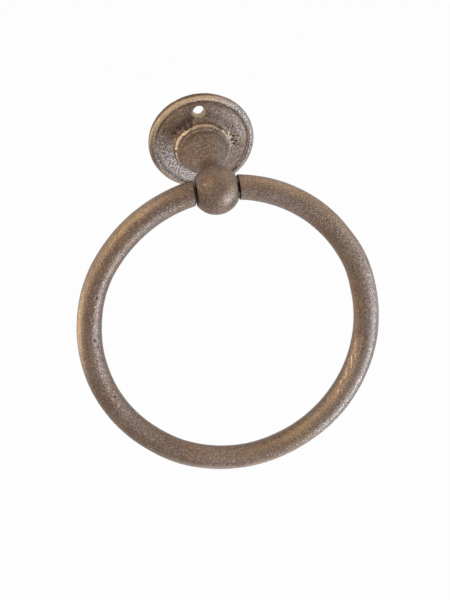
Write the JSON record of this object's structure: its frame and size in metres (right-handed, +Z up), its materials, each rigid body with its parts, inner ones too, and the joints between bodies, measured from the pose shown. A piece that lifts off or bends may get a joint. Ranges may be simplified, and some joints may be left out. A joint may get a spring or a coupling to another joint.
{
  "type": "towel ring",
  "caption": "Wall-mounted towel ring: a round rimmed plate, a bell-footed post with a ball head, and a heavy open ring that swings on a pin through the head.",
  "frame": {"origin": "centre of the plate's back, on the wall, midway between the two screw holes", "axes": "+X along the pivot pin to the right as seen from the room, +Y into the wall, +Z up; the post stands out along -Y"},
  "size_m": [0.1587, 0.1165, 0.1653],
  "materials": {
    "aged_brass": "aged cast surface, brown patina with a fine sandy grain, bright where edges are worn",
    "steel": "plain turned steel"
  },
  "bodies": {
    "bracket": {"wall_plate": "aged_brass", "post": "aged_brass", "fixing_screw": "steel"},
    "swinging_ring": {"ring": "aged_brass", "pivot_pin": "steel"}
  },
  "joints": [
    {"name": "ring_swing", "type": "hinge", "parent": "bracket", "child": "swinging_ring", "pos_m": [0, -0.0465, 0], "axis": [-1, 0, 0], "range_deg": [-40, 140]}
  ]
}
